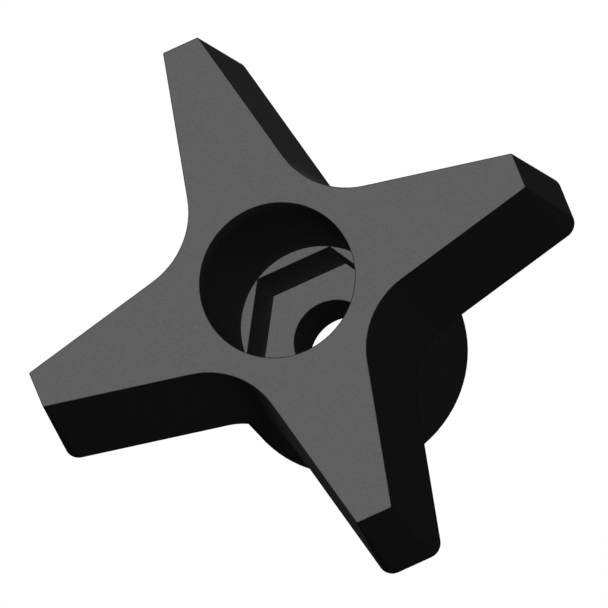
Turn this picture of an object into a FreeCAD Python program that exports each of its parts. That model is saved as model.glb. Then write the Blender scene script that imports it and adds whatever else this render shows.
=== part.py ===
import FreeCAD, Part
import enum
import math
import os
import Sketcher

# Star knob for a hexagon bolt or nut, one moulding. The hub stands on z = 0 and the axis is Z.
# The star is at the top. Its first arm points along +X.

# Driving sizes in millimetres and degrees: alias, value, meaning.
SIZES = [
    ("arm_count", "4", "arms of the star"),
    ("tip_to_tip", "52", "across two opposite arm tips at the top face"),
    ("tip_width", "3.75", "width of an arm's flat tip at the top face"),
    ("arm_flare", "12.6", "angle of an arm's side to its middle line, in degrees"),
    ("web_radius", "8.2", "radius of the hollow between two arms at the top face"),
    ("tip_corner", "0.15", "radius of an arm's tip corners at the top face"),
    ("wall_draft", "5", "lean of the star's walls, in degrees: the star is widest underneath"),
    ("star_thickness", "15.5", "height of the star"),
    ("total_height", "32", "from the hub's face to the top face"),
    ("hub_diameter", "23.4", "outside of the hub"),
    ("bolt_diameter", "8", "shank of the bolt"),
    ("bolt_clearance", "0.1", "what the hole adds to the shank's diameter"),
    ("head_across_flats", "13", "bolt head or nut, across its flats"),
    ("head_clearance", "0.4", "what the pocket adds across the flats"),
    ("head_pocket_depth", "7", "depth of the hexagonal pocket"),
    ("seat_thickness", "7", "from the hub's face to the pocket's floor, which the bolt pulls on"),
    ("well_margin", "0.03", "gap between the pocket's corners and the wall of the well above it"),
]

HEXAGON_SIDES = 6
FLAT_TO_CORNER_DEGREES = 180 / HEXAGON_SIDES

# Heights and lengths on the axis, as expressions on the sheet.
TOP = "Sizes.total_height"
HUB_LENGTH = "Sizes.total_height - Sizes.star_thickness"
POCKET_FLOOR = "Sizes.seat_thickness"
WELL_FLOOR = "Sizes.seat_thickness + Sizes.head_pocket_depth"
WELL_DEPTH = "Sizes.total_height - Sizes.seat_thickness - Sizes.head_pocket_depth"

# Widths round the axis: the hexagonal pocket across its corners, the well and the hole.
POCKET_CORNERS = f"(Sizes.head_across_flats + Sizes.head_clearance) / cos({FLAT_TO_CORNER_DEGREES} deg)"
WELL_DIAMETER = f"{POCKET_CORNERS} + 2 * Sizes.well_margin"
HOLE_DIAMETER = "Sizes.bolt_diameter + Sizes.bolt_clearance"


class Axis(enum.IntEnum):
    """A sketch's own axes, as elements."""

    X = -1
    Y = -2


class Point(enum.IntEnum):
    """The points of an element."""

    START = 1
    END = 2
    CENTRE = 3


ORIGIN = (Axis.X, Point.START)


def add_sizes(doc):
    sheet = doc.addObject("Spreadsheet::Sheet", "Sizes")
    for row, (alias, value, meaning) in enumerate(SIZES, start=1):
        sheet.set(f"A{row}", alias)
        sheet.set(f"B{row}", value)
        sheet.set(f"C{row}", meaning)
        sheet.setAlias(f"B{row}", alias)
    doc.recompute()
    return sheet


def origin_feature(body, role):
    for feature in body.Origin.OriginFeatures:
        if feature.Role == role:
            return feature
    raise ValueError(f"{body.Name} has no {role}")


def level_sketch(body, name, height=None):
    """A horizontal sketch, on z = 0 or at a height given as an expression."""
    sketch = body.newObject("Sketcher::SketchObject", name)
    sketch.AttachmentSupport = (origin_feature(body, "XY_Plane"), [""])
    sketch.MapMode = "FlatFace"
    if height is not None:
        sketch.setExpression("AttachmentOffset.Base.z", height)
    return sketch


def constrain(sketch, kind, *values, name=None, size=None):
    """Adds a constraint. A named one takes its size from an expression."""
    index = sketch.addConstraint(Sketcher.Constraint(kind, *values))
    if name is not None:
        sketch.renameConstraint(index, name)
        sketch.setExpression(f"Constraints.{name}", size)


def circle_sketch(body, name, diameter, height=None):
    """A circle round the axis, its diameter given as an expression."""
    sketch = level_sketch(body, name, height)
    circle = Part.Circle()
    ring = sketch.addGeometry(circle, False)
    constrain(sketch, "Coincident", ring, Point.CENTRE, *ORIGIN)
    constrain(sketch, "Diameter", ring, 2 * circle.Radius, name="diameter", size=diameter)
    return sketch


def closed_loop(sketch, corners):
    """Straight sides from corner to corner, each joined to the next."""
    ends = corners[1:] + corners[:1]
    sides = [Part.LineSegment(a, b) for a, b in zip(corners, ends)]
    loop = list(sketch.addGeometry(sides, False))
    for side, following in zip(loop, loop[1:] + loop[:1]):
        constrain(sketch, "Coincident", side, Point.END, following, Point.START)
    return loop


def arm_sketch(body, sheet):
    """One arm from above: it narrows from the axis to its flat tip, the same on both sides of X."""
    sketch = level_sketch(body, "ArmOutline", TOP)
    reach = sheet.tip_to_tip / 2
    half_tip = sheet.tip_width / 2
    flare = math.radians(sheet.arm_flare)
    half_root = half_tip + reach * math.tan(flare)
    corners = [
        FreeCAD.Vector(0, -half_root, 0),
        FreeCAD.Vector(reach, -half_tip, 0),
        FreeCAD.Vector(reach, half_tip, 0),
        FreeCAD.Vector(0, half_root, 0),
    ]
    side, tip, _, root = closed_loop(sketch, corners)
    tip_start = (tip, Point.START)
    tip_end = (tip, Point.END)
    constrain(sketch, "Symmetric", *tip_start, *tip_end, Axis.X)
    constrain(sketch, "Symmetric", root, Point.START, root, Point.END, Axis.X)
    constrain(sketch, "PointOnObject", root, Point.START, Axis.Y)
    constrain(sketch, "DistanceX", *ORIGIN, *tip_start, reach, name="reach", size="Sizes.tip_to_tip / 2")
    constrain(sketch, "DistanceY", *tip_start, *tip_end, 2 * half_tip, name="tip", size="Sizes.tip_width")
    constrain(sketch, "Angle", side, flare, name="flare", size="Sizes.arm_flare * 1 deg")
    return sketch


def hexagon_sketch(body, sheet):
    """The pocket from above: a regular hexagon with two corners on X, so that two flats face Y."""
    sketch = level_sketch(body, "HeadOutline", WELL_FLOOR)
    flats = sheet.head_across_flats + sheet.head_clearance
    corner_radius = flats / 2 / math.cos(math.radians(FLAT_TO_CORNER_DEGREES))
    corners = []
    for corner in range(HEXAGON_SIDES):
        angle = 2 * math.pi * corner / HEXAGON_SIDES
        corners.append(corner_radius * FreeCAD.Vector(math.cos(angle), math.sin(angle), 0))
    loop = closed_loop(sketch, corners)
    ring = sketch.addGeometry(Part.Circle(FreeCAD.Vector(), FreeCAD.Vector(0, 0, 1), corner_radius), True)
    constrain(sketch, "Coincident", ring, Point.CENTRE, *ORIGIN)
    for side in loop:
        constrain(sketch, "PointOnObject", side, Point.START, ring)
    for side in loop[1:]:
        constrain(sketch, "Equal", loop[0], side)
    constrain(sketch, "PointOnObject", loop[0], Point.START, Axis.X)
    constrain(sketch, "Diameter", ring, 2 * corner_radius, name="corners", size=POCKET_CORNERS)
    return sketch


def upright_edges(shape):
    """Names of the edges that run straight up, from the nearest to the axis to the farthest."""
    up = FreeCAD.Vector(0, 0, 1)
    found = []
    for number, edge in enumerate(shape.Edges, start=1):
        low, high = sorted((vertex.Point for vertex in edge.Vertexes), key=lambda point: point.z)
        if (high - low).getAngle(up) < Part.Precision.angular():
            found.append((math.hypot(low.x, low.y), f"Edge{number}"))
    return [name for _, name in sorted(found)]


def faces_by_height(shape):
    """Names of the level faces, from the lowest to the highest, and of the walls between them."""
    level = []
    walls = []
    for number, face in enumerate(shape.Faces, start=1):
        if face.BoundBox.ZLength < Part.Precision.confusion():
            level.append((face.CenterOfMass.z, f"Face{number}"))
        else:
            walls.append(f"Face{number}")
    return [name for _, name in sorted(level)], walls


def add_star(doc, body, sheet):
    """The star: one arm and its copies, hollows between them, tip corners, and walls that lean outward."""
    arm = body.newObject("PartDesign::Pad", "Arm")
    arm.Profile = arm_sketch(body, sheet)
    arm.setExpression("Length", "Sizes.star_thickness")
    arm.Reversed = True
    doc.recompute()

    arms = body.newObject("PartDesign::PolarPattern", "Arms")
    arms.Originals = [arm]
    arms.Axis = (origin_feature(body, "Z_Axis"), [""])
    arms.setExpression("Occurrences", "Sizes.arm_count")
    body.Tip = arms
    doc.recompute()

    count = round(sheet.arm_count)
    webs = body.newObject("PartDesign::Fillet", "Webs")
    webs.Base = (arms, upright_edges(arms.Shape)[:count])
    webs.setExpression("Radius", "Sizes.web_radius")
    doc.recompute()

    corners = body.newObject("PartDesign::Fillet", "TipCorners")
    corners.Base = (webs, upright_edges(webs.Shape)[-2 * count:])
    corners.setExpression("Radius", "Sizes.tip_corner")
    doc.recompute()

    level, walls = faces_by_height(corners.Shape)
    draft = body.newObject("PartDesign::Draft", "LeaningWalls")
    draft.Base = (corners, walls)
    draft.NeutralPlane = (corners, [level[-1]])
    draft.setExpression("Angle", "Sizes.wall_draft")
    doc.recompute()


def add_hub(doc, body):
    hub = body.newObject("PartDesign::Pad", "Hub")
    hub.Profile = circle_sketch(body, "HubOutline", "Sizes.hub_diameter")
    hub.setExpression("Length", HUB_LENGTH)
    doc.recompute()


def cut(doc, body, name, outline, depth=None):
    """A pocket straight down from its outline, to a depth or right through."""
    pocket = body.newObject("PartDesign::Pocket", name)
    pocket.Profile = outline
    if depth is None:
        pocket.Type = "ThroughAll"
    else:
        pocket.setExpression("Length", depth)
    doc.recompute()
    if pocket.Shape.Volume >= pocket.BaseFeature.Shape.Volume:
        raise ValueError(f"{name} removes nothing")


def add_bolt_seat(doc, body, sheet):
    """Down the axis: the round well, the hexagonal pocket for the head, and the hole for the shank."""
    cut(doc, body, "Well", circle_sketch(body, "WellOutline", WELL_DIAMETER, TOP), WELL_DEPTH)
    cut(doc, body, "HeadPocket", hexagon_sketch(body, sheet), "Sizes.head_pocket_depth")
    cut(doc, body, "BoltHole", circle_sketch(body, "HoleOutline", HOLE_DIAMETER, POCKET_FLOOR))


def knob_body(doc, sheet):
    body = doc.addObject("PartDesign::Body", "KnobBody")
    body.Label = "knob_body"
    add_star(doc, body, sheet)
    add_hub(doc, body)
    add_bolt_seat(doc, body, sheet)
    return body


def check(doc, pieces):
    for item in doc.Objects:
        if {"Invalid", "Error"} & set(item.State):
            raise ValueError(f"{item.Name} failed: {item.State}")
    for piece in pieces:
        if piece.Shape.isNull() or not piece.Shape.isValid():
            raise ValueError(f"{piece.Label} has no valid shape")


def main():
    doc = FreeCAD.newDocument("StarKnob")
    sheet = add_sizes(doc)
    pieces = [knob_body(doc, sheet)]
    doc.recompute()
    check(doc, pieces)
    os.makedirs("parts", exist_ok=True)
    for piece in pieces:
        piece.Shape.exportStep(f"parts/{piece.Label}.step")


main()
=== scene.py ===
import math

import bmesh
import bpy
from bpy.props import FloatProperty, FloatVectorProperty, PointerProperty
from mathutils import Matrix, Vector


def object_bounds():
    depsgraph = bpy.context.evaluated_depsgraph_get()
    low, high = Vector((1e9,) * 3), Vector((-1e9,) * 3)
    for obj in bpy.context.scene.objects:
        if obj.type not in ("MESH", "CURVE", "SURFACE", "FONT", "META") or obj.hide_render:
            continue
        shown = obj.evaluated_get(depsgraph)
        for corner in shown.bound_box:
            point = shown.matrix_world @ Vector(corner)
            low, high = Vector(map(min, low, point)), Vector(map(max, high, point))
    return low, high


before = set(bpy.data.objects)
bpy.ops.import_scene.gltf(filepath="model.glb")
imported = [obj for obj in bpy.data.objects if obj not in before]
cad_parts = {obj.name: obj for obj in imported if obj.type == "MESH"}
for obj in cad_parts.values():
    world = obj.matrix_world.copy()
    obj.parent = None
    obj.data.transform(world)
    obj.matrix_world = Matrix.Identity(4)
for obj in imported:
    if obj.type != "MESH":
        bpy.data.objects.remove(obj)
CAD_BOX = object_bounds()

# The moulded star knob: the matte plastic of its body, and the pale stage that it stands on.

bl_info = {
    "name": "Star Knob",
    "version": (1, 0, 0),
    "blender": (4, 5, 0),
    "location": "3D View > Sidebar > Star Knob",
    "description": "Gives a moulded star knob its matte plastic and sets up the stage it stands on",
    "category": "Object",
}

BODY_NODE = "knob_body"
MILLIMETRE = 0.001
RIGHT_ANGLE = math.pi / 2
WHITE = (1.0, 1.0, 1.0)

# The grain's height is the sum of its pits and of the finer dust between them.
PIT_HEIGHT = 0.9
DUST_HEIGHT = 0.55
MIDDLE_HEIGHT = 0.62
DUST_FINENESS = 2.6
ROUGHNESS_SWING = 0.25

# How freely short rays run on below the surface, from 1 under a flat face to 0.5 under a square edge. The
# painted edge shade, a dark line that stands in for the shade of a slightly rounded edge turned away from the
# light, begins at the first of these and shows in full at the second.
EDGE_SHADE_BEGINS = 0.92
EDGE_SHADE_FULL = 0.72

# The floor is seen just over white, and gives the knob almost no light of its own.
FLOOR_SEEN = 1.03
FLOOR_BOUNCE = (0.005, 0.005, 0.005)
FLOOR_SIDES = 96

# Heights of the low lamps above the horizon, and widths of the lamps as the knob sees them.
FRONT_HEIGHT = math.radians(6)
SIDE_HEIGHT = 0.0
BACK_HEIGHT = math.radians(1)
STRAIGHT_DOWN = Vector((0.0, 0.0, -1.0))
NARROW = math.radians(2)
WIDE = math.radians(10)
WIDEST = math.radians(20)

# Nearest and farthest that the camera sees, as shares of its distance from the knob.
NEAREST = 0.01
FARTHEST = 10.0


def millimetres(name, description, default, low, high):
    """A length property, given in millimetres and kept in metres."""
    return FloatProperty(
        name=name,
        description=description,
        default=default * MILLIMETRE,
        min=low * MILLIMETRE,
        max=high * MILLIMETRE,
        precision=5,
        subtype="DISTANCE",
        unit="LENGTH",
    )


def degrees(name, description, default):
    """An angle property, given in degrees and kept in radians."""
    return FloatProperty(
        name=name,
        description=description,
        default=math.radians(default),
        min=-math.pi,
        max=math.pi,
        subtype="ANGLE",
        unit="ROTATION",
    )


def share(name, description, default):
    """A part of one."""
    return FloatProperty(
        name=name, description=description, default=default, min=0.0, max=1.0, subtype="FACTOR"
    )


def brightness(name, description, default):
    """A strength of light. At one, a colour is seen as it is written."""
    return FloatProperty(
        name=name, description=description, default=default, min=0.0, max=4.0, subtype="FACTOR"
    )


def colour(name, description, default):
    """A linear colour."""
    return FloatVectorProperty(
        name=name, description=description, default=default, min=0.0, max=1.0, size=3, subtype="COLOR"
    )


class StarKnobPlasticSettings(bpy.types.PropertyGroup):
    """Colour and grain of the moulded plastic."""

    body_colour: colour("Colour", "Colour of the moulded plastic", (0.116, 0.116, 0.116))
    # Painted shade: a dark line painted along each sharp edge, in place of the shade of a slightly rounded
    # edge turned away from the light.
    edge_shade_colour: colour("Edge colour", "Colour of the line along each sharp edge", (0.012, 0.012, 0.012))
    edge_width: millimetres("Edge width", "How far the dark line reaches from an edge", 0.13, 0.01, 1.0)
    edge_shade_share: share("Edge strength", "How much of the edge colour shows at the edge itself", 1.0)
    grain_size: millimetres("Grain size", "Distance from one pit of the grain to the next", 0.17, 0.02, 2.0)
    grain_depth: millimetres("Grain depth", "Depth of the pits", 0.01, 0.0, 0.1)
    grain_shade: share("Grain shade", "How much darker the plastic looks down in the pits", 0.28)
    cloud_size: millimetres("Cloud size", "Width of the uneven tone left by moulding", 9.0, 0.5, 50.0)
    cloud_shade: share("Cloud shade", "How far the uneven tone goes up and down", 0.03)
    roughness: share("Roughness", "Roughness of the plastic halfway down the pits", 0.7)
    gloss: share("Gloss", "Strength of the reflections of the matte surface", 0.0)


class StarKnobStageSettings(bpy.types.PropertyGroup):
    """Floor, light and camera. Turns are measured from +X."""

    floor_radius: millimetres("Floor radius", "Radius of the round floor", 3000.0, 100.0, 10000.0)
    floor_gap: millimetres("Floor gap", "Room between the hub's face and the floor", 0.02, 0.0, 1.0)
    floor_shade: share("Floor shade", "Part of the floor's white that comes from the lamps", 0.8)
    overhead_light: brightness("Overhead light", "Brightness of the light above the knob", 0.971)
    overhead_lean: degrees("Overhead lean", "How far the overhead light leans away from straight above", 12.2)
    overhead_turn: degrees("Overhead turn", "Direction that the overhead light leans to", 102.4)
    front_light: brightness("Front light", "Brightness of the weak light from the front", 0.021)
    front_turn: degrees("Front turn", "Direction that the weak light from the front comes from", -79.0)
    well_light: brightness("Well light", "Brightness of the front light that also reaches the well", 0.0105)
    side_light: brightness("Side light", "Brightness of the weak light from the right", 0.0225)
    side_turn: degrees("Side turn", "Direction that the weak light from the right comes from", 12.0)
    back_light: brightness("Back light", "Brightness of the light from behind", 0.3)
    back_turn: degrees("Back turn", "Direction that the light from behind comes from", 102.6)
    table_light: brightness("Table light", "Brightness of the light that comes up from below", 0.5)
    room_light: brightness("Room light", "Brightness of the room around the knob", 0.008)
    view_turn: degrees("View turn", "How far the camera is turned round the knob from the front", 20.1)
    view_height: degrees("View height", "How far the camera stands above the horizon", 71.04)
    view_roll: degrees("View roll", "How far the camera is rolled about its line of sight", -43.57)
    view_width: millimetres("View width", "Width of what the camera sees", 59.22, 5.0, 1000.0)
    view_right: millimetres(
        "Aim right", "How far right of the knob's top centre the camera aims", 2.6, -100.0, 100.0
    )
    view_down: millimetres(
        "Aim down", "How far below the knob's top centre the camera aims", 2.323, -100.0, 100.0
    )
    view_distance: millimetres(
        "Camera distance", "Distance from the camera to the knob", 600.0, 100.0, 5000.0
    )


class Signal:
    """A node's output. Arithmetic on it adds Math nodes."""

    def __init__(self, wiring, socket):
        self.wiring = wiring
        self.socket = socket

    def output(self, name):
        return Signal(self.wiring, self.socket.node.outputs[name])

    def math(self, operation, first, second):
        return self.wiring.node("ShaderNodeMath", {"operation": operation}, {0: first, 1: second})

    def __add__(self, other):
        return self.math("ADD", self, other)

    def __radd__(self, other):
        return self.math("ADD", other, self)

    def __sub__(self, other):
        return self.math("SUBTRACT", self, other)

    def __rsub__(self, other):
        return self.math("SUBTRACT", other, self)

    def __mul__(self, other):
        return self.math("MULTIPLY", self, other)

    def __rmul__(self, other):
        return self.math("MULTIPLY", other, self)


class Wiring:
    """The nodes of one material or world."""

    def __init__(self, owner):
        owner.use_nodes = True
        self.tree = owner.node_tree
        self.tree.nodes.clear()

    def node(self, kind, settings=(), sockets=()):
        """Adds a node: its settings first, then the value or link of each named or numbered socket."""
        made = self.tree.nodes.new(kind)
        for name, value in dict(settings).items():
            setattr(made, name, value)
        for name, value in dict(sockets).items():
            self.fill(self.input(made, name), value)
        shown = [socket for socket in made.outputs if socket.enabled]
        return Signal(self, shown[0]) if shown else None

    @staticmethod
    def input(made, name):
        if isinstance(name, int):
            return made.inputs[name]
        return next(socket for socket in made.inputs if socket.enabled and socket.name == name)

    def fill(self, socket, value):
        if isinstance(value, Signal):
            self.tree.links.new(value.socket, socket)
        elif socket.type == "RGBA":
            socket.default_value = (*value, 1.0)
        else:
            socket.default_value = value


def painted_edge_shade(wiring, settings):
    """Mask of the painted edge shade: zero on the faces, rising to the edge's share on a sharp edge, where
    short inward rays come out.
    """
    freedom = wiring.node(
        "ShaderNodeAmbientOcclusion",
        {"inside": True, "only_local": True, "samples": 8},
        {"Distance": settings.edge_width},
    ).output("AO")
    return wiring.node(
        "ShaderNodeMapRange",
        {"clamp": True},
        {
            "Value": freedom,
            "From Min": EDGE_SHADE_BEGINS,
            "From Max": EDGE_SHADE_FULL,
            "To Min": 0.0,
            "To Max": settings.edge_shade_share,
        },
    )


def matte_plastic(settings):
    """Dark moulded plastic with a fine eroded grain, a broad uneven tone, and painted shade as a thin dark
    line along its sharp edges.
    """
    material = bpy.data.materials.new("matte_moulded_plastic")
    wiring = Wiring(material)
    place = wiring.node("ShaderNodeTexCoord").output("Object")
    pits = wiring.node(
        "ShaderNodeTexVoronoi",
        {"feature": "SMOOTH_F1"},
        {"Vector": place, "Scale": 1.0 / settings.grain_size, "Smoothness": 0.7},
    )
    dust = wiring.node(
        "ShaderNodeTexNoise",
        {},
        {"Vector": place, "Scale": DUST_FINENESS / settings.grain_size, "Detail": 2.0, "Roughness": 0.6},
    )
    clouds = wiring.node(
        "ShaderNodeTexNoise",
        {},
        {"Vector": place, "Scale": 1.0 / settings.cloud_size, "Detail": 3.0, "Roughness": 0.55},
    )
    height = pits * PIT_HEIGHT + dust * DUST_HEIGHT
    grain_tone = (height - MIDDLE_HEIGHT) * settings.grain_shade
    cloud_tone = (clouds - 0.5) * (2.0 * settings.cloud_shade)
    toned = wiring.node(
        "ShaderNodeVectorMath",
        {"operation": "SCALE"},
        {"Vector": settings.body_colour, "Scale": 1.0 + grain_tone + cloud_tone},
    )
    # Painted shade: the dark edge colour is mixed into the plastic's colour along each sharp edge.
    shown = wiring.node(
        "ShaderNodeMix",
        {"data_type": "RGBA"},
        {"Factor": painted_edge_shade(wiring, settings), "A": toned, "B": settings.edge_shade_colour},
    )
    bump = wiring.node(
        "ShaderNodeBump",
        {},
        {"Strength": 1.0, "Distance": settings.grain_depth, "Height": height},
    )
    surface = wiring.node(
        "ShaderNodeBsdfPrincipled",
        {},
        {
            "Base Color": shown,
            "Roughness": settings.roughness + (MIDDLE_HEIGHT - height) * ROUGHNESS_SWING,
            "Specular IOR Level": settings.gloss,
            "Normal": bump,
        },
    )
    wiring.node("ShaderNodeOutputMaterial", {}, {"Surface": surface})
    return material


def seen_ray(wiring):
    """One for a ray of the camera or of a reflection or refraction, zero for a ray of scattered light."""
    path = wiring.node("ShaderNodeLightPath")
    return path.output("Is Camera Ray") + path.output("Is Glossy Ray") + path.output("Is Transmission Ray")


def pale_floor(settings):
    """White where it is seen, dark in the light that it throws back, and clear from below."""
    material = bpy.data.materials.new("pale_floor")
    wiring = Wiring(material)
    plain = {"Roughness": 1.0, "Specular IOR Level": 0.0}
    pale = wiring.node(
        "ShaderNodeBsdfPrincipled",
        {},
        {
            **plain,
            "Base Color": [settings.floor_shade] * 3,
            "Emission Color": WHITE,
            "Emission Strength": FLOOR_SEEN - settings.floor_shade,
        },
    )
    dark = wiring.node("ShaderNodeBsdfPrincipled", {}, {**plain, "Base Color": FLOOR_BOUNCE})
    clear = wiring.node("ShaderNodeBsdfTransparent")
    upper = wiring.node("ShaderNodeMixShader", {}, {0: seen_ray(wiring), 1: dark, 2: pale})
    behind = wiring.node("ShaderNodeNewGeometry").output("Backfacing")
    whole = wiring.node("ShaderNodeMixShader", {}, {0: behind, 1: upper, 2: clear})
    wiring.node("ShaderNodeOutputMaterial", {}, {"Surface": whole})
    return material


def pale_room(settings):
    """White where it is seen, and a weak even light on the knob."""
    world = bpy.data.worlds.new("pale_room")
    wiring = Wiring(world)
    light = wiring.node("ShaderNodeBackground", {}, {"Color": WHITE, "Strength": settings.room_light})
    backdrop = wiring.node("ShaderNodeBackground", {}, {"Color": WHITE, "Strength": 1.0})
    whole = wiring.node("ShaderNodeMixShader", {}, {0: seen_ray(wiring), 1: light, 2: backdrop})
    wiring.node("ShaderNodeOutputWorld", {}, {"Surface": whole})
    return world


def put_in_scene(scene, name, data):
    """A new object in the scene, in place of an earlier one of the same name."""
    earlier = bpy.data.objects.get(name)
    if earlier is not None:
        bpy.data.objects.remove(earlier)
    made = bpy.data.objects.new(name, data)
    scene.collection.objects.link(made)
    return made


def add_floor(scene, settings):
    """A wide round floor just under the hub's face."""
    mesh = bpy.data.meshes.new("floor")
    shape = bmesh.new()
    bmesh.ops.create_circle(shape, cap_ends=True, radius=settings.floor_radius, segments=FLOOR_SIDES)
    shape.to_mesh(mesh)
    shape.free()
    mesh.materials.append(pale_floor(settings))
    floor = put_in_scene(scene, "floor", mesh)
    floor.location.z = -settings.floor_gap


def direction(turn, height):
    """Unit vector at an angle from +X round the axis and an angle above the horizon."""
    return Vector((math.cos(turn) * math.cos(height), math.sin(turn) * math.cos(height), math.sin(height)))


def add_lamp(scene, name, light, source, width, casts_shadow):
    """An even lamp whose light comes from a direction."""
    lamp = bpy.data.lights.new(name, "SUN")
    lamp.energy = light * math.pi
    lamp.angle = width
    lamp.use_shadow = casts_shadow
    made = put_in_scene(scene, name, lamp)
    made.rotation_mode = "QUATERNION"
    made.rotation_quaternion = source.to_track_quat("Z", "Y")


def add_lamps(scene, settings):
    """The lamps. Those above, below and at the side cast no shadow, so the well's floor stays bright."""
    overhead = direction(settings.overhead_turn, RIGHT_ANGLE - settings.overhead_lean)
    front = direction(settings.front_turn, FRONT_HEIGHT)
    side = direction(settings.side_turn, SIDE_HEIGHT)
    back = direction(settings.back_turn, BACK_HEIGHT)
    add_lamp(scene, "overhead_lamp", settings.overhead_light, overhead, NARROW, False)
    add_lamp(scene, "front_lamp", settings.front_light, front, WIDE, True)
    add_lamp(scene, "well_lamp", settings.well_light, front, WIDE, False)
    add_lamp(scene, "side_lamp", settings.side_light, side, WIDEST, False)
    add_lamp(scene, "back_lamp", settings.back_light, back, NARROW, True)
    add_lamp(scene, "table_lamp", settings.table_light, STRAIGHT_DOWN, NARROW, False)


def add_camera(scene, settings):
    """A camera without perspective that looks down at the knob's top."""
    turn, height, roll = settings.view_turn, settings.view_height, settings.view_roll
    back = direction(turn - RIGHT_ANGLE, height)
    level_right = Vector((math.cos(turn), math.sin(turn), 0.0))
    level_up = back.cross(level_right)
    right = level_right * math.cos(roll) + level_up * math.sin(roll)
    up = back.cross(right)
    top_centre = Vector((0.0, 0.0, CAD_BOX[1].z))
    aim = top_centre + right * settings.view_right - up * settings.view_down
    lens = bpy.data.cameras.new("camera")
    lens.type = "ORTHO"
    lens.ortho_scale = settings.view_width
    lens.clip_start = settings.view_distance * NEAREST
    lens.clip_end = settings.view_distance * FARTHEST
    camera = put_in_scene(scene, "camera", lens)
    axes = Matrix((right, up, back)).transposed()
    place = aim + back * settings.view_distance
    camera.matrix_world = Matrix.LocRotScale(place, axes.to_quaternion(), None)
    scene.camera = camera


class STARKNOB_OT_finish_body(bpy.types.Operator):
    """Give the knob's body its matte moulded plastic"""

    bl_idname = "star_knob.finish_body"
    bl_label = "Finish Knob Body"
    bl_options = {"REGISTER", "UNDO"}

    def execute(self, context):
        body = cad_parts.get(BODY_NODE)
        if body is None or not body.material_slots:
            raise RuntimeError("the packed model has no knob body with a material slot")
        material = matte_plastic(context.scene.star_knob_plastic)
        for slot in body.material_slots:
            slot.material = material
        return {"FINISHED"}


class STARKNOB_OT_set_stage(bpy.types.Operator):
    """Set up the floor, the lamps, the room and the camera"""

    bl_idname = "star_knob.set_stage"
    bl_label = "Set Up Stage"
    bl_options = {"REGISTER", "UNDO"}

    def execute(self, context):
        scene = context.scene
        settings = scene.star_knob_stage
        add_floor(scene, settings)
        add_lamps(scene, settings)
        scene.world = pale_room(settings)
        add_camera(scene, settings)
        scene.view_settings.view_transform = "Standard"
        return {"FINISHED"}


class VIEW3D_PT_star_knob(bpy.types.Panel):
    """Lists the knob's settings and steps"""

    bl_label = "Star Knob"
    bl_space_type = "VIEW_3D"
    bl_region_type = "UI"
    bl_category = "Star Knob"

    def draw(self, context):
        steps = (
            ("Plastic", context.scene.star_knob_plastic, STARKNOB_OT_finish_body),
            ("Stage", context.scene.star_knob_stage, STARKNOB_OT_set_stage),
        )
        for title, settings, step in steps:
            box = self.layout.box()
            box.label(text=title)
            for name in settings.__annotations__:
                box.prop(settings, name)
            box.operator(step.bl_idname)


CLASSES = (
    StarKnobPlasticSettings,
    StarKnobStageSettings,
    STARKNOB_OT_finish_body,
    STARKNOB_OT_set_stage,
    VIEW3D_PT_star_knob,
)


def register():
    for made in CLASSES:
        bpy.utils.register_class(made)
    bpy.types.Scene.star_knob_plastic = PointerProperty(type=StarKnobPlasticSettings)
    bpy.types.Scene.star_knob_stage = PointerProperty(type=StarKnobStageSettings)


def unregister():
    del bpy.types.Scene.star_knob_stage
    del bpy.types.Scene.star_knob_plastic
    for made in reversed(CLASSES):
        bpy.utils.unregister_class(made)


def main():
    register()
    bpy.ops.star_knob.finish_body()
    bpy.ops.star_knob.set_stage()


if __name__ == "__main__":
    main()
